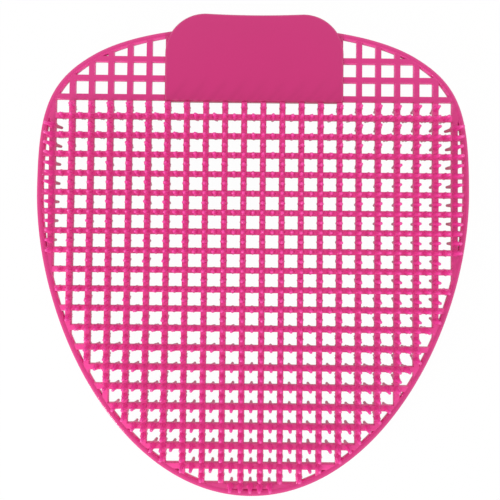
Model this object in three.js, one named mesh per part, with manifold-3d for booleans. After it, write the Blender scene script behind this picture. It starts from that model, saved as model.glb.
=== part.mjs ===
// Urinal deodorizer screen: one soft moulding. An open square mesh carries tapered bristles on both
// faces, a rim runs round its egg-shaped edge, and a smooth grip tab closes the mesh at the top.
// Millimetres, +Z up. The screen lies on its rear bristles with the tab towards +Y, and the origin
// is on the ground under the middle of its length and width.

import * as THREE from 'three';
import { mergeVertices } from 'three/addons/utils/BufferGeometryUtils.js';
import Module from 'manifold-3d';

// Overall size
const LENGTH = 190;
const WIDTH = 171.5;
const BRISTLE_REACH = 6.7; // from the middle of the mesh to a bristle's tip, on each face

// Edge curve: crown at the top, shoulder, widest line, toe at the bottom
const CROWN_SETBACK = 4.8; // from the top of the tab down to the crown
const SHOULDER_SETBACK = 16.7; // from the top of the tab down to the shoulder
const SHOULDER_HALF_WIDTH = 64.1;
const SHOULDER_SLOPE = THREE.MathUtils.degToRad(30.5);
const WIDEST_HEIGHT = 119.2; // from the toe up to the widest line
const CROWN_REACH = 32.7; // lengths of the curve handles, which set how full each stretch is
const SHOULDER_INNER_REACH = 13;
const SHOULDER_OUTER_REACH = 21.7;
const HIP_REACH = 30.4;
const FLANK_REACH = 53;
const TOE_REACH = 50.8;
const EDGE_STEPS = 34; // straight steps along each half of the edge

// Rim along the edge
const RIM_WIDTH = 2.4;
const RIM_THICKNESS = 3;

// Mesh of ribs
const PITCH = 7.62;
const RIB_WIDTH = 2.5;
const RIB_THICKNESS = 2.6;
const BRISTLE_TO_RIM = 0.2; // clearance between a bristle's root and the rim

// Grip tab
const TAB_CELLS = 9; // mesh cells across the tab, whose sides run flush with two ribs
const TAB_LENGTH = 35.3;
const TAB_OVERHANG = 0.4; // how far the tab's foot hangs below the rib that meets it
const TAB_THICKNESS = 4;
const TAB_CORNER_RADIUS = 16;
const TAB_FOOT_RADIUS = 1;
const TAB_TOP_DIP = 0.5; // how far the middle of the top edge sags
const TAB_EDGE_RADIUS = 0.8;
const ROWS_BESIDE_TAB = 3; // smooth ribs beside the tab, the lowest of them at its foot

const MATERIAL = { color: 0xdb4c88, roughness: 0.42, metalness: 0 };

// Lines that the parts share
const top = LENGTH / 2;
const toe = -LENGTH / 2;
const middle = BRISTLE_REACH; // height of the mesh's mid-plane above the ground
const tabFoot = top - TAB_LENGTH;
const tabHalfWidth = (TAB_CELLS * PITCH + RIB_WIDTH) / 2;
const footRow = tabFoot + TAB_OVERHANG + RIB_WIDTH / 2;

const wasm = await Module();
wasm.setup();

// A closed geometry as a solid that can be joined and cut
function solid(geometry) {
	geometry.deleteAttribute('normal');
	geometry.deleteAttribute('uv');
	const merged = mergeVertices(geometry);
	const mesh = new wasm.Mesh({
		numProp: 3,
		vertProperties: new Float32Array(merged.attributes.position.array),
		triVerts: new Uint32Array(merged.index.array),
	});
	return new wasm.Manifold(mesh);
}

function geometryOf(manifold) {
	const mesh = manifold.getMesh();
	const geometry = new THREE.BufferGeometry();
	geometry.setAttribute('position', new THREE.BufferAttribute(mesh.vertProperties, 3));
	geometry.setIndex(new THREE.BufferAttribute(mesh.triVerts, 1));
	geometry.computeVertexNormals();
	return geometry;
}

function joined(solids) {
	return solids.reduce((whole, next) => whole.add(next));
}

// The outer edge as a closed loop of points, anticlockwise from the toe
function edgeLoop() {
	const halfWidth = WIDTH / 2;
	const crown = top - CROWN_SETBACK;
	const widest = toe + WIDEST_HEIGHT;
	const shoulder = new THREE.Vector2(SHOULDER_HALF_WIDTH, top - SHOULDER_SETBACK);
	const slope = new THREE.Vector2(Math.cos(SHOULDER_SLOPE), -Math.sin(SHOULDER_SLOPE));
	const below = shoulder.clone().addScaledVector(slope, SHOULDER_OUTER_REACH);
	const above = shoulder.clone().addScaledVector(slope, -SHOULDER_INNER_REACH);

	const half = new THREE.Path();
	half.moveTo(0, toe);
	half.bezierCurveTo(TOE_REACH, toe, halfWidth, widest - FLANK_REACH, halfWidth, widest);
	half.bezierCurveTo(halfWidth, widest + HIP_REACH, below.x, below.y, shoulder.x, shoulder.y);
	half.bezierCurveTo(above.x, above.y, CROWN_REACH, crown, 0, crown);

	const right = half.getSpacedPoints(EDGE_STEPS);
	const left = right.slice(1, -1).reverse().map((point) => new THREE.Vector2(-point.x, point.y));
	return [...right, ...left];
}

// A closed loop moved inwards by a distance, corner by corner
function inset(loop, distance) {
	return loop.map((point, index) => {
		const before = loop.at(index - 1);
		const after = loop[(index + 1) % loop.length];
		const arriving = point.clone().sub(before).normalize();
		const leaving = after.clone().sub(point).normalize();
		const along = arriving.clone().add(leaving).normalize();
		const reach = distance / along.dot(leaving);
		return new THREE.Vector2(point.x - along.y * reach, point.y + along.x * reach);
	});
}

function contains(loop, x, y) {
	let within = false;
	loop.forEach((end, index) => {
		const start = loop.at(index - 1);
		const spans = (start.y > y) !== (end.y > y);
		if (spans && x < start.x + (y - start.y) / (end.y - start.y) * (end.x - start.x)) {
			within = !within;
		}
	});
	return within;
}

// A flat plate of a thickness, centred on the mesh's mid-plane
function plate(shape, thickness) {
	const geometry = new THREE.ExtrudeGeometry(shape, { depth: thickness, bevelEnabled: false });
	return geometry.translate(0, 0, middle - thickness / 2);
}

function rim(edge) {
	const ring = new THREE.Shape(edge);
	ring.holes.push(new THREE.Path(inset(edge, RIM_WIDTH)));
	return solid(plate(ring, RIM_THICKNESS));
}

function columnPlaces() {
	const places = [];
	for (let x = PITCH / 2; x < WIDTH / 2 - RIM_WIDTH; x += PITCH) {
		places.push(-x, x);
	}
	return places;
}

function rowPlaces() {
	const places = [];
	const highest = footRow + (ROWS_BESIDE_TAB - 1) * PITCH;
	for (let y = highest; y > toe + RIM_WIDTH; y -= PITCH) {
		places.push(y);
	}
	return places;
}

function rib(width, length, x, y) {
	const geometry = new THREE.BoxGeometry(width, length, RIB_THICKNESS);
	return solid(geometry.translate(x, y, middle));
}

// Ribs both ways, trimmed where they run into the rim
function mesh(edge, columns, rows) {
	const upright = columns.map((x) => rib(RIB_WIDTH, LENGTH, x, 0));
	const level = rows.map((y) => rib(WIDTH, RIB_WIDTH, 0, y));
	const reach = solid(plate(new THREE.Shape(inset(edge, RIM_WIDTH / 2)), RIB_THICKNESS));
	return joined([...upright, ...level]).intersect(reach);
}

// Two bristles back to back, whose shared root fills the crossing of two ribs
function bristlePair(x, y) {
	const rootCorner = RIB_WIDTH / Math.SQRT2;
	const profile = [
		new THREE.Vector2(0, -BRISTLE_REACH),
		new THREE.Vector2(rootCorner, -RIB_THICKNESS / 2),
		new THREE.Vector2(rootCorner, RIB_THICKNESS / 2),
		new THREE.Vector2(0, BRISTLE_REACH),
	];
	const geometry = new THREE.LatheGeometry(profile, 4, Math.PI / 4);
	geometry.rotateX(Math.PI / 2);
	return solid(geometry.translate(x, y, middle));
}

// Bristles stand at every crossing below the tab's foot whose root clears the rim
function bristles(edge, columns, rows) {
	const clear = inset(edge, RIM_WIDTH + BRISTLE_TO_RIM);
	const half = RIB_WIDTH / 2;
	const corners = [[-half, -half], [half, -half], [half, half], [-half, half]];
	const pairs = [];
	for (const y of rows.filter((row) => row + half < tabFoot)) {
		for (const x of columns) {
			if (corners.every(([dx, dy]) => contains(clear, x + dx, y + dy))) {
				pairs.push(bristlePair(x, y));
			}
		}
	}
	return joined(pairs);
}

function gripTab() {
	const outline = new THREE.Shape();
	const corner = TAB_CORNER_RADIUS;
	const foot = TAB_FOOT_RADIUS;
	outline.moveTo(-tabHalfWidth + foot, tabFoot);
	outline.lineTo(tabHalfWidth - foot, tabFoot);
	outline.absarc(tabHalfWidth - foot, tabFoot + foot, foot, -Math.PI / 2, 0);
	outline.absarc(tabHalfWidth - corner, top - corner, corner, 0, Math.PI / 2);
	outline.quadraticCurveTo(0, top - 2 * TAB_TOP_DIP, -tabHalfWidth + corner, top);
	outline.absarc(-tabHalfWidth + corner, top - corner, corner, Math.PI / 2, Math.PI);
	outline.absarc(-tabHalfWidth + foot, tabFoot + foot, foot, Math.PI, 1.5 * Math.PI);

	const geometry = new THREE.ExtrudeGeometry(outline, {
		depth: TAB_THICKNESS - 2 * TAB_EDGE_RADIUS,
		curveSegments: 7,
		bevelThickness: TAB_EDGE_RADIUS,
		bevelSize: TAB_EDGE_RADIUS,
		bevelOffset: -TAB_EDGE_RADIUS,
		bevelSegments: 2,
	});
	return solid(geometry.translate(0, 0, middle - TAB_THICKNESS / 2 + TAB_EDGE_RADIUS));
}

function screenMesh() {
	const edge = edgeLoop();
	const columns = columnPlaces();
	const rows = rowPlaces();
	const whole = joined([
		mesh(edge, columns, rows),
		bristles(edge, columns, rows),
		rim(edge),
		gripTab(),
	]);
	const screen = new THREE.Mesh(geometryOf(whole), new THREE.MeshStandardMaterial(MATERIAL));
	screen.name = 'screen';
	return screen;
}

const group = new THREE.Group();
group.add(screenMesh());

export default group;
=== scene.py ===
"""The looks of a soft moulded urinal screen, laid out as an add-on.

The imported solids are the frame. Two pieces are built in their place: the body, in which the mesh of
ribs, the rim and the grip tab share one skin, and the bristles that stand through the ribs.
"""

import math

import bpy
from bpy.props import FloatProperty, FloatVectorProperty, IntProperty, PointerProperty
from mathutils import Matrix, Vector
from mathutils.geometry import interpolate_bezier


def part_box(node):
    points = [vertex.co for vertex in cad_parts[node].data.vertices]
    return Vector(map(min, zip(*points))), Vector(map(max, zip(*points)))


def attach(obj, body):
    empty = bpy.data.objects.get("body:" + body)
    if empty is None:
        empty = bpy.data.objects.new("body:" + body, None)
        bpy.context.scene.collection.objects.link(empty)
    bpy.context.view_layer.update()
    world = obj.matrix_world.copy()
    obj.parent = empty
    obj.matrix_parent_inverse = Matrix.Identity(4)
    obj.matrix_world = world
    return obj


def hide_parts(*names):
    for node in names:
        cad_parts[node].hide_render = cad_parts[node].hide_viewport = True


bl_info = {
    "name": "Urinal Screen",
    "version": (1, 0, 0),
    "blender": (4, 5, 0),
    "location": "3D View > Sidebar > Screen",
    "description": "Builds the looks of a soft moulded urinal screen over its frame",
    "category": "Add Mesh",
}

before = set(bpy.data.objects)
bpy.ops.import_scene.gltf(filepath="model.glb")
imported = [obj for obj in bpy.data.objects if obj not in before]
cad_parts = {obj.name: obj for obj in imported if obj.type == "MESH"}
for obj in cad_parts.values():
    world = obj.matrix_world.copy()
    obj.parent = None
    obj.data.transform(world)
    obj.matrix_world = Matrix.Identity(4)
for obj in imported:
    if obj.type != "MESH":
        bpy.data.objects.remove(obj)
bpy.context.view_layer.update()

NODE = "screen"
BODY = "root"
FINISH = "moulded_eva"
MM = 0.001

LOWEST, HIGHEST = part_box(NODE)
TOE = LOWEST.y
TOP = HIGHEST.y
HALF_WIDTH = HIGHEST.x
MIDDLE = (LOWEST.z + HIGHEST.z) / 2  # height of the mesh's mid-plane
REACH = (HIGHEST.z - LOWEST.z) / 2  # from the mid-plane to a bristle's tip

BAR_EDGE_STEPS = 2  # facets across the rounded edge of a rib or the rim
TAB_EDGE_STEPS = 4  # facets across the tab's rounded edge
TAB_CORNER_STEPS = 18
TAB_FOOT_STEPS = 4
TAB_DIP_STEPS = 12
SHARP_ANGLE = math.radians(50)
TIP_SETBACK = 0.45  # from a bristle's tip down to its last ring, as a share of the tip radius
TIP_NARROWING = 0.9  # radius of that ring, as a share of the tip radius
MASK_MARGIN = 0.1 * MM  # how far the tab's colour reaches past its sides and foot
RIM_MARGIN = 0.05 * MM  # how far over a rib's face the rim's colour sets in
FLOOR_HALF = 4  # metres from the floor's middle to its sides


# Settings

def length(name, millimetres, description):
    """A length that a user may change, given in millimetres."""
    return FloatProperty(name=name, description=description, default=millimetres * MM, unit="LENGTH",
                         precision=5)


def angle(name, degrees, description):
    """An angle that a user may change, given in degrees."""
    return FloatProperty(name=name, description=description, default=math.radians(degrees), unit="ROTATION")


def share(name, value, description):
    """A share of one that a user may change."""
    return FloatProperty(name=name, description=description, default=value, subtype="FACTOR")


def colour(name, value, description):
    """A linear colour that a user may change."""
    return FloatVectorProperty(name=name, description=description, default=value, subtype="COLOR", size=3,
                               min=0, max=1)


class EdgeSettings(bpy.types.PropertyGroup):
    """The egg-shaped outer edge, from the toe up to the crown."""

    crown_setback: length("Crown setback", 4.8, "From the top of the tab down to the crown of the edge")
    shoulder_setback: length("Shoulder setback", 16.7, "From the top of the tab down to the shoulder")
    shoulder_half_width: length("Shoulder half width", 64.1, "From the middle out to the shoulder")
    shoulder_slope: angle("Shoulder slope", 30.5, "How steeply the edge falls at the shoulder")
    widest_height: length("Widest height", 119.2, "From the toe up to the widest line")
    crown_reach: length("Crown reach", 32.7, "Length of the curve's handle at the crown")
    shoulder_inner_reach: length("Shoulder inner reach", 13, "Length of the handle above the shoulder")
    shoulder_outer_reach: length("Shoulder outer reach", 21.7, "Length of the handle below the shoulder")
    hip_reach: length("Hip reach", 30.4, "Length of the handle above the widest line")
    flank_reach: length("Flank reach", 53, "Length of the handle below the widest line")
    toe_reach: length("Toe reach", 50.8, "Length of the handle at the toe")
    step: length("Step", 2.4, "About how long each straight step of the edge is")


class MeshSettings(bpy.types.PropertyGroup):
    """The ribs and the rim that frames them."""

    pitch: length("Pitch", 7.62, "From one rib to the next")
    rib_width: length("Rib width", 2.5, "Width of a rib at the mid-plane")
    rib_thickness: length("Rib thickness", 2.6, "Height of a rib from face to face")
    rib_draft: share("Rib draft", 0.13, "How much narrower a rib is at its faces")
    rib_edge_radius: length("Rib edge radius", 0.28, "Radius of a rib's long edges")
    rim_width: length("Rim width", 2.4, "Width of the rim at the mid-plane")
    rim_thickness: length("Rim thickness", 3, "Height of the rim from face to face")
    rim_draft: share("Rim draft", 0.2, "How much narrower the rim is at its faces")
    rim_edge_radius: length("Rim edge radius", 0.5, "Radius of the rim's long edges")


class TabSettings(bpy.types.PropertyGroup):
    """The smooth grip tab."""

    cells: IntProperty(name="Cells", description="Mesh cells across the tab", default=9)
    length: length("Length", 35.3, "From the top of the tab down to its foot")
    overhang: length("Overhang", 0.4, "How far the foot hangs below the rib that meets it")
    thickness: length("Thickness", 4, "From face to face")
    corner_radius: length("Corner radius", 16, "Radius of the two upper corners")
    foot_radius: length("Foot radius", 1, "Radius of the two lower corners")
    top_dip: length("Top dip", 0.5, "How far the middle of the top edge sags")
    edge_radius: length("Edge radius", 0.8, "Radius along the tab's edges")
    rows_beside: IntProperty(name="Rows beside", description="Smooth ribs beside the tab", default=3)


class BristleSettings(bpy.types.PropertyGroup):
    """The tapered bristles on both faces."""

    boss_radius: length("Boss radius", 1.38, "Radius of the boss that a bristle grows from")
    boss_height: length("Boss height", 1.2, "How far the boss rises over its rib")
    pin_radius: length("Pin radius", 0.86, "Radius of the pin where it leaves the boss")
    tip_radius: length("Tip radius", 0.66, "Radius of the pin below its round tip")
    sides: IntProperty(name="Sides", description="Flats round a bristle", default=8)
    rim_gap: length("Rim gap", 0.9, "Least gap between a bristle's axis and the rim")
    wobble: share("Wobble", 0.03, "Sideways play of a tip as a share of the bristle's height")
    inward_lean: angle("Inward lean", 11, "Lean towards the middle of the bristles at the far left")
    inward_start: length("Inward start", 36, "How far left of the middle that lean sets in")
    splay_left: angle("Splay left", 22, "Outward lean of the outermost bristles on the left, at its most")
    splay_right: angle("Splay right", 14, "Outward lean of the outermost bristles on the right, at its most")
    splay_height: length("Splay height", 50, "Height above the middle at which they lean most")
    splay_spread: length("Splay spread", 72, "How far from that height the lean dies out")
    seed: IntProperty(name="Seed", description="Start of the random play", default=7)


class FinishSettings(bpy.types.PropertyGroup):
    """The moulded plastic's finish, whose colours by part include painted light and shade."""

    thick_colour: colour("Thick colour", (0.51, 0.025, 0.158), "Colour of the tab, the thickest part")
    # Painted light: the ribs' faces among the bristles are painted brighter than the open colour, to lift the
    # shade that the bristles cast on them.
    rib_painted_light_colour: colour("Rib painted light colour", (0.79, 0.054, 0.290), "Colour of the ribs' faces between the bristles")
    open_colour: colour("Open colour", (0.60, 0.033, 0.200), "Colour of the rim and of ribs without bristles")
    # Painted shade: the rear bristles under the screen are painted a deeper, darker tone.
    rear_painted_shade_colour: colour("Rear painted shade colour", (0.80, 0.018, 0.24), "Deeper colour of the rear bristles")
    # Painted light: the flanks and the bristles are painted brighter, a painted glow for light through the
    # thin plastic and on steep sides.
    painted_glow_colour: colour("Painted glow colour", (0.78, 0.058, 0.325), "Colour of the flanks and the bristles")
    # Bristle start and full, with flank start and full, set where the painted glow colour goes.
    bristle_start: length("Bristle start", 1.6, "Height over the mid-plane at which the bristles set in")
    bristle_full: length("Bristle full", 3, "Height over the mid-plane above which all is bristle")
    flank_start: share("Flank start", 0.1, "Steepness at which a face begins to count as a flank")
    flank_full: share("Flank full", 0.6, "Steepness above which a face is all flank")
    roughness: share("Roughness", 0.15, "Roughness of the moulded skin")
    refraction: FloatProperty(name="Refraction", description="Index of refraction", default=1.48)
    mottle_size: length("Mottle size", 14, "Size of the cloudy patches")
    mottle_colour: colour("Mottle colour", (0.7, 0.55, 0.62), "Tint of the cloudy patches")
    mottle_strength: share("Mottle strength", 0.16, "How strongly the patches tint the colour")
    mottle_roughness: share("Mottle roughness", 0.08, "How much roughness the patches add")
    grain_size: length("Grain size", 0.5, "Size of the fine grain")
    grain_depth: length("Grain depth", 0.03, "Depth of the fine grain")
    grain_strength: share("Grain strength", 0.5, "How strongly the fine grain shows")


class StageSettings(bpy.types.PropertyGroup):
    """The camera, the light and the floor."""

    camera_distance: length("Camera distance", 230, "From the mid-plane up to the camera")
    view_width: length("View width", 198.3, "Width of the mid-plane that the picture shows")
    view_x: length("View middle X", -0.98, "Where the picture's middle lies across the screen")
    view_y: length("View middle Y", 0.9, "Where the picture's middle lies along the screen")
    eye_x: length("Eye X", 3.2, "Where the camera stands across the screen")
    eye_y: length("Eye Y", 9.2, "Where the camera stands along the screen")
    tilt: angle("Tilt", 1.72, "Lean of the line of sight towards the tab")
    roll: angle("Roll", 0.56, "Turn of the camera about its line of sight")
    sky: FloatProperty(name="Sky", description="Brightness of the sky all round", default=1.3)
    overhead: FloatProperty(name="Overhead", description="Brightness of the sky over the camera", default=0.4)
    overhead_start: share("Overhead start", 0.84, "Height in the sky at which it begins to dim")
    overhead_full: share("Overhead full", 0.97, "Height in the sky from which it stays dim")
    lamp_power: FloatProperty(name="Lamp power", description="Power of the side lamp", default=0.5)
    lamp_size: length("Lamp size", 50, "Side of the square lamp")
    lamp_x: length("Lamp X", -250, "Where the lamp stands across the screen")
    lamp_y: length("Lamp Y", -250, "Where the lamp stands along the screen")
    lamp_z: length("Lamp Z", 150, "Height of the lamp")
    floor_colour: colour("Floor colour", (0.8, 0.8, 0.8), "Colour of the floor under its glow")
    floor_white: share("Floor white", 0.98, "Share of glow in the floor that the camera sees")
    floor_glow: share("Floor glow", 0.45, "Share of glow in the floor that lights the screen")


class UrinalScreenSettings(bpy.types.PropertyGroup):
    """All the settings of the screen and its stage."""

    edge: PointerProperty(type=EdgeSettings)
    mesh: PointerProperty(type=MeshSettings)
    tab: PointerProperty(type=TabSettings)
    bristles: PointerProperty(type=BristleSettings)
    finish: PointerProperty(type=FinishSettings)
    stage: PointerProperty(type=StageSettings)


# Node trees

class Value:
    """One socket of a node tree. Arithmetic on it adds Math nodes."""

    def __init__(self, graph, socket):
        self.graph = graph
        self.socket = socket

    def __getitem__(self, name):
        return Value(self.graph, self.socket.node.outputs[name])

    def math(self, operation, first, second=0.0):
        return self.graph.node("ShaderNodeMath", {"operation": operation}, {0: first, 1: second})

    def __add__(self, other):
        return self.math("ADD", self, other)

    def __radd__(self, other):
        return self.math("ADD", other, self)

    def __sub__(self, other):
        return self.math("SUBTRACT", self, other)

    def __rsub__(self, other):
        return self.math("SUBTRACT", other, self)

    def __mul__(self, other):
        return self.math("MULTIPLY", self, other)

    def __truediv__(self, other):
        return self.math("DIVIDE", self, other)

    def __gt__(self, other):
        return self.math("GREATER_THAN", self, other)

    def __abs__(self):
        return self.math("ABSOLUTE", self)

    def at_least(self, other):
        return self.math("MAXIMUM", self, other)


class Graph:
    """Adds nodes to a tree and links their sockets."""

    def __init__(self, tree):
        self.tree = tree

    def node(self, kind, settings=None, sockets=None):
        """Adds a node, sets it up, fills its sockets and returns its first output."""
        node = self.tree.nodes.new(kind)
        for name, value in (settings or {}).items():
            setattr(node, name, value)
        for name, value in (sockets or {}).items():
            if isinstance(value, Value):
                self.tree.links.new(value.socket, node.inputs[name])
            else:
                node.inputs[name].default_value = value
        return Value(self, node.outputs[0]) if node.outputs else None

    def blend(self, factor, first, second, mode="MIX"):
        """Adds a node that mixes two colours and returns its result."""
        mix = self.node("ShaderNodeMix", {"data_type": "RGBA", "blend_type": mode},
                        {0: factor, 6: first, 7: second})
        return Value(self, mix.socket.node.outputs[2])


def shading_graph(owner):
    """The node tree of a material or a world, emptied."""
    owner.use_nodes = True
    owner.node_tree.nodes.clear()
    return Graph(owner.node_tree)


def geometry_graph(name, sizes):
    """A geometry tree that takes a mesh and named sizes. Returns its graph and its group input."""
    tree = bpy.data.node_groups.new(name, "GeometryNodeTree")
    tree.interface.new_socket("Geometry", in_out="INPUT", socket_type="NodeSocketGeometry")
    for label, kind in sizes:
        tree.interface.new_socket(label, in_out="INPUT", socket_type=kind)
    tree.interface.new_socket("Geometry", in_out="OUTPUT", socket_type="NodeSocketGeometry")
    graph = Graph(tree)
    return graph, graph.node("NodeGroupInput")


def give(graph, geometry, material):
    """Ends a geometry tree: instances become real, and the mesh takes its material."""
    real = graph.node("GeometryNodeRealizeInstances", {}, {"Geometry": geometry})
    coated = graph.node("GeometryNodeSetMaterial", {}, {"Geometry": real, "Material": material})
    graph.node("NodeGroupOutput", {}, {"Geometry": coated})


def make_plain(obj):
    """Replaces an object's mesh by what its modifiers make of it, and removes them."""
    depsgraph = bpy.context.evaluated_depsgraph_get()
    mesh = bpy.data.meshes.new_from_object(obj.evaluated_get(depsgraph), depsgraph=depsgraph)
    obj.modifiers.clear()
    obj.data = mesh


def run_tree(obj, tree, sizes):
    """Runs a geometry tree on an object with the named sizes and keeps the result as a plain mesh."""
    modifier = obj.modifiers.new(tree.name, "NODES")
    modifier.node_group = tree
    for item in tree.interface.items_tree:
        if item.in_out == "INPUT" and item.name in sizes:
            modifier[item.identifier] = sizes[item.name]
    make_plain(obj)


# Lines of the screen that the pieces share

def edge_loop(edge):
    """The outer edge as a closed loop of points, anticlockwise from the toe."""
    crown = Vector((0, TOP - edge.crown_setback))
    shoulder = Vector((edge.shoulder_half_width, TOP - edge.shoulder_setback))
    widest = Vector((HALF_WIDTH, TOE + edge.widest_height))
    toe = Vector((0, TOE))
    slope = Vector((math.cos(edge.shoulder_slope), -math.sin(edge.shoulder_slope)))
    beside_toe = toe + Vector((edge.toe_reach, 0))
    below_widest = widest - Vector((0, edge.flank_reach))
    above_widest = widest + Vector((0, edge.hip_reach))
    below_shoulder = shoulder + slope * edge.shoulder_outer_reach
    above_shoulder = shoulder - slope * edge.shoulder_inner_reach
    beside_crown = crown + Vector((edge.crown_reach, 0))
    spans = [
        (toe, beside_toe, below_widest, widest),
        (widest, above_widest, below_shoulder, shoulder),
        (shoulder, above_shoulder, beside_crown, crown),
    ]
    right = [toe]
    for start, leaving, arriving, end in spans:
        steps = round((end - start).length / edge.step)
        right += interpolate_bezier(start, leaving, arriving, end, steps + 1)[1:]
    left = [Vector((-point.x, point.y)) for point in right[-2:0:-1]]
    return [point.xy for point in right] + left


def inset(loop, distance):
    """A closed loop moved inwards by a distance, corner by corner."""
    moved = []
    for index, point in enumerate(loop):
        before = loop[index - 1]
        after = loop[(index + 1) % len(loop)]
        arriving = (point - before).normalized()
        leaving = (after - point).normalized()
        along = (arriving + leaving).normalized()
        moved.append(point + Vector((-along.y, along.x)) * (distance / along.dot(leaving)))
    return moved


def contains(loop, x, y):
    """Whether a closed loop goes round a point."""
    within = False
    for index, end in enumerate(loop):
        start = loop[index - 1]
        if (start.y > y) != (end.y > y):
            crossing = start.x + (y - start.y) / (end.y - start.y) * (end.x - start.x)
            if x < crossing:
                within = not within
    return within


def foot_row(settings):
    """Height of the level rib that meets the tab's foot."""
    return TOP - settings.tab.length + settings.tab.overhang + settings.mesh.rib_width / 2


def column_places(mesh):
    """Places of the upright ribs across the screen, from left to right."""
    count = int((HALF_WIDTH - mesh.rim_width) / mesh.pitch + 0.5)
    return [(index + 0.5) * mesh.pitch for index in range(-count, count)]


def row_places(settings):
    """Places of the level ribs along the screen, from the top down."""
    mesh = settings.mesh
    highest = foot_row(settings) + (settings.tab.rows_beside - 1) * mesh.pitch
    count = int((highest - TOE - mesh.rim_width) / mesh.pitch) + 1
    return [highest - index * mesh.pitch for index in range(count)]


def tab_half_width(settings):
    """From the middle out to the tab's sides, which run flush with two upright ribs."""
    return (settings.tab.cells * settings.mesh.pitch + settings.mesh.rib_width) / 2


# Meshes

def add_object(name, vertices, edges=(), faces=()):
    """Adds an object with a mesh of the given parts."""
    mesh = bpy.data.meshes.new(name)
    mesh.from_pydata(vertices, edges, faces)
    obj = bpy.data.objects.new(name, mesh)
    bpy.context.scene.collection.objects.link(obj)
    return obj


def stack(name, rings):
    """A closed body through rings of as many points each, the first and last filled."""
    count = len(rings[0])
    faces = [list(range(count))[::-1]]
    for level in range(len(rings) - 1):
        low = level * count
        high = low + count
        for index in range(count):
            after = (index + 1) % count
            faces.append((low + index, low + after, high + after, high + index))
    last = (len(rings) - 1) * count
    faces.append(list(range(last, last + count)))
    return add_object(name, [point for ring in rings for point in ring], faces=faces)


def combine(obj, other, operation):
    """Joins or cuts an object with another one, which is used up."""
    modifier = obj.modifiers.new(operation.title(), "BOOLEAN")
    modifier.operation = operation
    modifier.solver = "MANIFOLD"
    modifier.object = other
    make_plain(obj)
    bpy.data.objects.remove(other)


def moulded_bar_tree():
    """A tree that sweeps a drafted bar with rounded edges along the edges of a mesh."""
    graph, sizes = geometry_graph("Moulded bar", [
        ("Width", "NodeSocketFloat"),
        ("Thickness", "NodeSocketFloat"),
        ("Draft", "NodeSocketFloat"),
        ("Edge radius", "NodeSocketFloat"),
        ("Material", "NodeSocketMaterial"),
    ])
    half_thickness = sizes["Thickness"] / 2
    square = graph.node("GeometryNodeCurvePrimitiveQuadrilateral", {"mode": "RECTANGLE"},
                        {"Width": sizes["Width"], "Height": sizes["Thickness"]})
    halved = graph.node("GeometryNodeSubdivideCurve", {}, {"Curve": square, "Cuts": 1})
    place = graph.node("GeometryNodeInputPosition")
    parts = graph.node("ShaderNodeSeparateXYZ", {}, {"Vector": place})
    narrowing = 1 - sizes["Draft"] * abs(parts["Y"]) / half_thickness
    drafted_place = graph.node("ShaderNodeCombineXYZ", {},
                               {"X": parts["X"] * narrowing, "Y": parts["Y"]})
    drafted = graph.node("GeometryNodeSetPosition", {}, {"Geometry": halved, "Position": drafted_place})
    corner = (abs(parts["X"]) > sizes["Width"] / 4) * (abs(parts["Y"]) > sizes["Thickness"] / 4)
    radius = corner * sizes["Edge radius"]
    rounded = graph.node("GeometryNodeFilletCurve", {"mode": "POLY"},
                         {"Curve": drafted, "Count": BAR_EDGE_STEPS, "Radius": radius})

    path = graph.node("GeometryNodeMeshToCurve", {}, {"Mesh": sizes["Geometry"]})
    level = graph.node("GeometryNodeSetCurveNormal", {"mode": "Z_UP"}, {"Curve": path})
    bar = graph.node("GeometryNodeCurveToMesh", {},
                     {"Curve": level, "Profile Curve": rounded, "Fill Caps": True})
    give(graph, bar, sizes["Material"])
    return graph.tree


def bristle_profile(settings):
    """Heights above the mid-plane and radii of a bristle, from its boss up to the ring below its tip."""
    bristles = settings.bristles
    face = settings.mesh.rib_thickness / 2
    return [
        (face, bristles.boss_radius),
        (face + bristles.boss_height / 3, (bristles.boss_radius + bristles.pin_radius) / 2),
        (face + bristles.boss_height, bristles.pin_radius),
        (REACH - TIP_SETBACK * bristles.tip_radius, TIP_NARROWING * bristles.tip_radius),
    ]


def bristle_pair(settings):
    """Two bristles back to back, turned about their common axis, with their middle at the origin."""
    sides = settings.bristles.sides
    front = bristle_profile(settings)
    rings = [(-height, radius) for height, radius in front[::-1]] + front
    vertices = []
    for height, radius in rings:
        for side in range(sides):
            turn = 2 * math.pi * side / sides
            vertices.append((radius * math.cos(turn), radius * math.sin(turn), height))
    low_tip = len(vertices)
    high_tip = low_tip + 1
    vertices += [(0, 0, -REACH), (0, 0, REACH)]
    faces = []
    for side in range(sides):
        after = (side + 1) % sides
        for base in range(0, low_tip - sides, sides):
            faces.append((base + side, base + after, base + sides + after, base + sides + side))
        faces.append((low_tip, after, side))
        faces.append((high_tip, low_tip - sides + side, low_tip - sides + after))
    pair = add_object("bristle_pair", vertices, faces=faces)
    pair.data.shade_smooth()
    return pair


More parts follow.
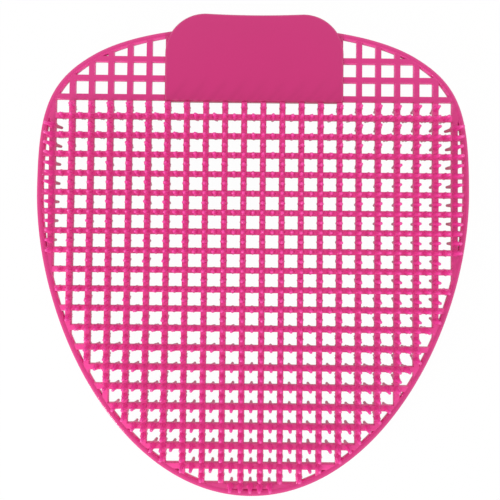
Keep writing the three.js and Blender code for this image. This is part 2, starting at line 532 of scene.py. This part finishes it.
def bristle_tree():
    """A tree that stands a pair of bristles on each point of a mesh, leaning as the point says."""
    graph, sizes = geometry_graph("Bristles", [
        ("Pair", "NodeSocketObject"),
        ("Wobble", "NodeSocketFloat"),
        ("Seed", "NodeSocketInt"),
        ("Material", "NodeSocketMaterial"),
    ])
    pair = graph.node("GeometryNodeObjectInfo", {"transform_space": "ORIGINAL"}, {"Object": sizes["Pair"]})
    lean = graph.node("GeometryNodeInputNamedAttribute", {"data_type": "FLOAT_VECTOR"}, {"Name": "lean"})
    play = graph.node("FunctionNodeRandomValue", {"data_type": "FLOAT_VECTOR"},
                      {0: (-1, -1, 0), 1: (1, 1, 0), "Seed": sizes["Seed"]})
    swayed = graph.node("ShaderNodeVectorMath", {"operation": "SCALE"}, {0: play, "Scale": sizes["Wobble"]})
    axis = graph.node("ShaderNodeVectorMath", {"operation": "ADD"}, {0: lean, 1: swayed})
    turn = graph.node("FunctionNodeAlignRotationToVector", {"axis": "Z"}, {"Vector": axis})
    stood = graph.node("GeometryNodeInstanceOnPoints", {},
                       {"Points": sizes["Geometry"], "Instance": pair["Geometry"], "Rotation": turn})
    give(graph, stood, sizes["Material"])
    return graph.tree


def bars(name, points, edges, tree, sizes):
    """Moulded bars along lines in the mid-plane, with the tree's inputs given by name."""
    obj = add_object(name, [(x, y, MIDDLE) for x, y in points], edges)
    run_tree(obj, tree, sizes)
    return obj


def rib_lines(name, ends, tree, settings):
    """Straight ribs between pairs of ends."""
    points = [end for pair in ends for end in pair]
    edges = [(index, index + 1) for index in range(0, len(points), 2)]
    return bars(name, points, edges, tree, {
        "Width": settings.mesh.rib_width,
        "Thickness": settings.mesh.rib_thickness,
        "Draft": settings.mesh.rib_draft,
        "Edge radius": settings.mesh.rib_edge_radius,
        "Material": shared_finish(settings),
    })


def trimmed_mesh(settings, loop, tree):
    """Ribs both ways in one skin, trimmed inside the rim."""
    mesh = settings.mesh
    upright = [((x, TOE), (x, TOP)) for x in column_places(mesh)]
    level = [((-HALF_WIDTH, y), (HALF_WIDTH, y)) for y in row_places(settings)]
    ribs = rib_lines("screen_body", upright, tree, settings)
    combine(ribs, rib_lines("level_ribs", level, tree, settings), "UNION")
    cutter = inset(loop, mesh.rim_width / 2)
    heights = [LOWEST.z, HIGHEST.z]
    combine(ribs, stack("mesh_reach", [[(x, y, z) for x, y in cutter] for z in heights]), "INTERSECT")
    return ribs


def rim(settings, loop, tree):
    """The rim, whose outer side is the screen's edge."""
    line = inset(loop, settings.mesh.rim_width / 2)
    edges = [(index, (index + 1) % len(line)) for index in range(len(line))]
    return bars("rim", line, edges, tree, {
        "Width": settings.mesh.rim_width,
        "Thickness": settings.mesh.rim_thickness,
        "Draft": settings.mesh.rim_draft,
        "Edge radius": settings.mesh.rim_edge_radius,
        "Material": shared_finish(settings),
    })


def arc(centre, radius, start, end, steps):
    """Points along an arc between two angles in degrees."""
    angles = [math.radians(start + (end - start) * step / steps) for step in range(steps + 1)]
    return [centre + Vector((math.cos(angle), math.sin(angle))) * radius for angle in angles]


def tab_outline(settings, margin):
    """The grip tab's outline, moved inwards by a margin."""
    tab = settings.tab
    half = tab_half_width(settings)
    corner = tab.corner_radius
    foot = tab.foot_radius
    bottom = TOP - tab.length
    upper = Vector((half - corner, TOP - corner))
    lower = Vector((half - foot, bottom + foot))
    upper_left = Vector((-upper.x, upper.y))
    lower_left = Vector((-lower.x, lower.y))
    dip = []
    for step in range(1, TAB_DIP_STEPS):
        across = 1 - 2 * step / TAB_DIP_STEPS
        sag = tab.top_dip * (1 - across ** 2)
        dip.append(Vector((upper.x * across, TOP - sag - margin)))
    return [
        *arc(lower, foot - margin, -90, 0, TAB_FOOT_STEPS),
        *arc(upper, corner - margin, 0, 90, TAB_CORNER_STEPS),
        *dip,
        *arc(upper_left, corner - margin, 90, 180, TAB_CORNER_STEPS),
        *arc(lower_left, foot - margin, 180, 270, TAB_FOOT_STEPS),
    ]


def grip_tab(settings):
    """The tab, with its edges rounded on both faces."""
    tab = settings.tab
    straight = tab.thickness / 2 - tab.edge_radius
    turns = [step / TAB_EDGE_STEPS * math.pi / 2 for step in range(TAB_EDGE_STEPS + 1)]
    rings = []
    for side in (-1, 1):
        for turn in (turns[::-1] if side < 0 else turns):
            margin = tab.edge_radius * (1 - math.cos(turn))
            height = MIDDLE + side * (straight + tab.edge_radius * math.sin(turn))
            rings.append([(x, y, height) for x, y in tab_outline(settings, margin)])
    return stack("grip_tab", rings)


def smooth_skin(obj):
    """Smooth shading up to an angle, with flat faces kept flat beside rounded edges."""
    obj.data.shade_smooth()
    obj.data.set_sharp_from_angle(angle=SHARP_ANGLE)
    weighted = obj.modifiers.new("Flat faces", "WEIGHTED_NORMAL")
    weighted.keep_sharp = True
    make_plain(obj)


# Finish

def region_colour(graph, settings, place):
    """The plastic's colour at a place, by the part that lies there and how steep its face is: the tab takes
    the thick colour and the rim and bare ribs the open colour, while the ribs' faces among the bristles are
    painted brighter, the flanks and bristles get a painted glow and the rear bristles painted shade.
    """
    finish = settings.finish
    mesh = settings.mesh
    half_rib = mesh.rib_width / 2
    parts = graph.node("ShaderNodeSeparateXYZ", {}, {"Vector": place})
    across = abs(parts["X"])
    rise = abs(parts["Z"] - MIDDLE)
    # Painted glow on the bristles, by their height over the mid-plane.
    bristle = graph.node("ShaderNodeMapRange", {"interpolation_type": "SMOOTHSTEP"}, {
        "Value": rise,
        "From Min": finish.bristle_start,
        "From Max": finish.bristle_full,
    })
    normal = graph.node("ShaderNodeNewGeometry")["Normal"]
    facing = graph.node("ShaderNodeSeparateXYZ", {}, {"Vector": normal})
    # Painted glow on steep faces, the flanks.
    flank = graph.node("ShaderNodeMapRange", {}, {
        "Value": 1 - abs(facing["Z"]),
        "From Min": finish.flank_start,
        "From Max": finish.flank_full,
    })

    above_foot = parts["Y"] > TOP - settings.tab.length - MASK_MARGIN
    on_tab = (tab_half_width(settings) + MASK_MARGIN - across > 0) * above_foot
    on_rim = (rise > mesh.rib_thickness / 2 + RIM_MARGIN) * (finish.bristle_start - rise > 0)
    past_columns = across > column_places(mesh)[-1] - half_rib
    past_rows = row_places(settings)[-1] + half_rib - parts["Y"] > 0
    # Faces with no bristles about them keep the open colour; the others get the rib colour with its painted
    # light.
    bare = on_rim.at_least(above_foot).at_least(past_columns).at_least(past_rows)
    # Parts lower than the bristle start below the mid-plane take the painted shade of the rear colour.
    rear = MIDDLE - finish.bristle_start - parts["Z"] > 0

    # Painted light on the ribs' faces among the bristles.
    faces = graph.blend(bare, (*finish.rib_painted_light_colour, 1), (*finish.open_colour, 1))
    # Painted glow: the flanks and the bristles take the brighter glow colour.
    front = graph.blend(bristle.at_least(flank), faces, (*finish.painted_glow_colour, 1))
    # Painted shade on the rear bristles.
    mesh_colour = graph.blend(rear, front, (*finish.rear_painted_shade_colour, 1))
    return graph.blend(on_tab, mesh_colour, (*finish.thick_colour, 1))


def moulded_finish(settings):
    """Satin moulded plastic, slightly cloudy and finely grained, painted brighter where it is thin and on its
    flanks as a painted glow, with painted light and shade by part.
    """
    finish = settings.finish
    material = bpy.data.materials.new(FINISH)
    graph = shading_graph(material)
    place = graph.node("ShaderNodeTexCoord")["Object"]
    tone = region_colour(graph, settings, place)
    mottle = graph.node("ShaderNodeTexNoise", {},
                        {"Vector": place, "Scale": 1 / finish.mottle_size, "Detail": 3.0})
    cloudy = graph.blend(mottle * finish.mottle_strength, tone, (*finish.mottle_colour, 1), "MULTIPLY")
    grain = graph.node("ShaderNodeTexNoise", {},
                       {"Vector": place, "Scale": 1 / finish.grain_size, "Detail": 2.0})
    bump = graph.node("ShaderNodeBump", {}, {
        "Strength": finish.grain_strength,
        "Distance": finish.grain_depth,
        "Height": grain,
    })
    shader = graph.node("ShaderNodeBsdfPrincipled", {}, {
        "Base Color": cloudy,
        "Roughness": finish.roughness + mottle * finish.mottle_roughness,
        "IOR": finish.refraction,
        "Normal": bump,
    })
    graph.node("ShaderNodeOutputMaterial", {}, {"Surface": shader})
    return material


def floor_finish(stage):
    """A white floor that keeps a faint shadow of what lies on it."""
    material = bpy.data.materials.new("white_floor")
    graph = shading_graph(material)
    seen = graph.node("ShaderNodeLightPath")["Is Camera Ray"]
    glow = (seen * stage.floor_white).at_least(stage.floor_glow)
    matt = graph.node("ShaderNodeBsdfDiffuse", {}, {"Color": (*stage.floor_colour, 1)})
    white = graph.node("ShaderNodeEmission", {}, {"Color": (1, 1, 1, 1), "Strength": 1.0})
    mixed = graph.node("ShaderNodeMixShader", {}, {0: glow, 1: matt, 2: white})
    graph.node("ShaderNodeOutputMaterial", {}, {"Surface": mixed})
    return material


def keep(obj, material):
    """Gives a finished piece its material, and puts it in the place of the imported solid."""
    obj.data.materials.clear()
    obj.data.materials.append(material)
    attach(obj, BODY)
    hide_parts(NODE)


def shared_finish(settings):
    """The one material of both pieces."""
    return bpy.data.materials.get(FINISH) or moulded_finish(settings)


# Operators

class URINAL_SCREEN_OT_body(bpy.types.Operator):
    """Mould the mesh of ribs, the rim and the grip tab in one skin"""

    bl_idname = "urinal_screen.add_body"
    bl_label = "Add Body"

    def execute(self, context):
        settings = context.scene.urinal_screen
        loop = edge_loop(settings.edge)
        tree = moulded_bar_tree()
        body = trimmed_mesh(settings, loop, tree)
        combine(body, rim(settings, loop, tree), "UNION")
        combine(body, grip_tab(settings), "UNION")
        if not body.data.polygons:
            raise RuntimeError("the body came out empty")
        smooth_skin(body)
        keep(body, shared_finish(settings))
        return {"FINISHED"}


class URINAL_SCREEN_OT_bristles(bpy.types.Operator):
    """Stand tapered bristles on both faces, at each crossing and halfway between"""

    bl_idname = "urinal_screen.add_bristles"
    bl_label = "Add Bristles"

    def execute(self, context):
        settings = context.scene.urinal_screen
        mesh = settings.mesh
        bristles = settings.bristles
        loop = edge_loop(settings.edge)
        clear = inset(loop, mesh.rim_width + bristles.rim_gap)
        columns = column_places(mesh)
        rows = [y for y in row_places(settings) if y < foot_row(settings) - mesh.pitch / 2]
        half = mesh.pitch / 2
        roots = [(x, y) for x in columns for y in rows]
        roots += [(x, y + half) for x in columns for y in rows]
        roots += [(x + half, y) for x in columns for y in rows]
        roots = [(x, y) for x, y in roots if contains(clear, x, y)]
        if not roots:
            raise RuntimeError("no bristle clears the rim")

        obj = add_object("bristles", [(x, y, MIDDLE) for x, y in roots])
        lean = obj.data.attributes.new("lean", "FLOAT_VECTOR", "POINT")
        leans = [(self.sideways(bristles, columns, x, y), 0, 1) for x, y in roots]
        lean.data.foreach_set("vector", [number for vector in leans for number in vector])
        pair = bristle_pair(settings)
        finish = shared_finish(settings)
        run_tree(obj, bristle_tree(), {
            "Pair": pair,
            "Wobble": bristles.wobble,
            "Seed": bristles.seed,
            "Material": finish,
        })
        bpy.data.objects.remove(pair)
        keep(obj, finish)
        return {"FINISHED"}

    def sideways(self, bristles, columns, x, y):
        """How far a front bristle leans to the right for each unit of its height."""
        inward = math.tan(bristles.inward_lean)
        onset = (-x - bristles.inward_start) / (columns[-1] - bristles.inward_start)
        lean = inward * min(1, max(0, onset))
        if abs(abs(x) - columns[-1]) < bristles.boss_radius:
            fade = max(0, 1 - abs(y - bristles.splay_height) / bristles.splay_spread)
            splay = bristles.splay_right if x > 0 else -bristles.splay_left
            lean += math.tan(splay) * fade
        return lean


class URINAL_SCREEN_OT_stage(bpy.types.Operator):
    """Set up the white floor, the soft light and the camera that looks straight down"""

    bl_idname = "urinal_screen.add_stage"
    bl_label = "Add Stage"

    def execute(self, context):
        stage = context.scene.urinal_screen.stage
        half = FLOOR_HALF
        corners = [(-half, -half, 0), (half, -half, 0), (half, half, 0), (-half, half, 0)]
        floor = add_object("floor", corners, faces=[(0, 1, 2, 3)])
        floor.data.materials.append(floor_finish(stage))
        self.light_sky(context, stage)
        self.light_side(context, stage)
        self.place_camera(context, stage)
        context.scene.view_settings.view_transform = "Standard"
        return {"FINISHED"}

    def light_sky(self, context, stage):
        """An even sky with a dim cap over the camera, and white where the camera sees it."""
        world = bpy.data.worlds.new("studio")
        context.scene.world = world
        graph = shading_graph(world)
        direction = graph.node("ShaderNodeTexCoord")["Generated"]
        rise = graph.node("ShaderNodeSeparateXYZ", {}, {"Vector": direction})["Z"]
        glow = graph.node("ShaderNodeMapRange", {"interpolation_type": "SMOOTHSTEP"}, {
            "Value": rise,
            "From Min": stage.overhead_start,
            "From Max": stage.overhead_full,
            "To Min": stage.sky,
            "To Max": stage.overhead,
        })
        seen = graph.node("ShaderNodeLightPath")["Is Camera Ray"]
        strength = glow + seen * (1 - glow)
        sky = graph.node("ShaderNodeBackground", {}, {"Color": (1, 1, 1, 1), "Strength": strength})
        graph.node("ShaderNodeOutputWorld", {}, {"Surface": sky})

    def light_side(self, context, stage):
        """A small lamp low on the left, which brightens the left flanks of the bristles and the rim."""
        data = bpy.data.lights.new("side_lamp", "AREA")
        data.energy = stage.lamp_power
        data.size = stage.lamp_size
        lamp = bpy.data.objects.new("side_lamp", data)
        context.scene.collection.objects.link(lamp)
        lamp.location = (stage.lamp_x, stage.lamp_y, stage.lamp_z)
        lamp.rotation_euler = lamp.location.to_track_quat("Z", "Y").to_euler()

    def place_camera(self, context, stage):
        """The camera looks almost straight down, and its lens is shifted to frame the screen."""
        data = bpy.data.cameras.new("camera")
        camera = bpy.data.objects.new("camera", data)
        context.scene.collection.objects.link(camera)
        camera.location = (stage.eye_x, stage.eye_y, MIDDLE + stage.camera_distance)
        camera.rotation_euler = (stage.tilt, 0, stage.roll)
        to_camera = camera.rotation_euler.to_matrix().transposed()
        seen = to_camera @ (Vector((stage.view_x, stage.view_y, MIDDLE)) - camera.location)
        data.sensor_width = 36
        data.lens = -data.sensor_width * seen.z / stage.view_width
        data.shift_x = seen.x / stage.view_width
        data.shift_y = seen.y / stage.view_width
        data.clip_start = 0.01
        context.scene.camera = camera


class URINAL_SCREEN_PT_panel(bpy.types.Panel):
    """The screen's settings and the steps that build it"""

    bl_idname = "URINAL_SCREEN_PT_panel"
    bl_label = "Urinal Screen"
    bl_space_type = "VIEW_3D"
    bl_region_type = "UI"
    bl_category = "Screen"

    def draw(self, context):
        settings = context.scene.urinal_screen
        for operator in OPERATORS:
            self.layout.operator(operator.bl_idname)
        for group in (settings.edge, settings.mesh, settings.tab, settings.bristles, settings.finish,
                      settings.stage):
            box = self.layout.box()
            for name in group.bl_rna.properties.keys():
                if name not in {"rna_type", "name"}:
                    box.prop(group, name)


OPERATORS = (URINAL_SCREEN_OT_body, URINAL_SCREEN_OT_bristles, URINAL_SCREEN_OT_stage)
CLASSES = (EdgeSettings, MeshSettings, TabSettings, BristleSettings, FinishSettings, StageSettings,
           UrinalScreenSettings, *OPERATORS, URINAL_SCREEN_PT_panel)


def register():
    for cls in CLASSES:
        bpy.utils.register_class(cls)
    bpy.types.Scene.urinal_screen = PointerProperty(type=UrinalScreenSettings)


def unregister():
    del bpy.types.Scene.urinal_screen
    for cls in reversed(CLASSES):
        bpy.utils.unregister_class(cls)


def main():
    register()
    bpy.ops.urinal_screen.add_body()
    bpy.ops.urinal_screen.add_bristles()
    bpy.ops.urinal_screen.add_stage()


if __name__ == "__main__":
    main()
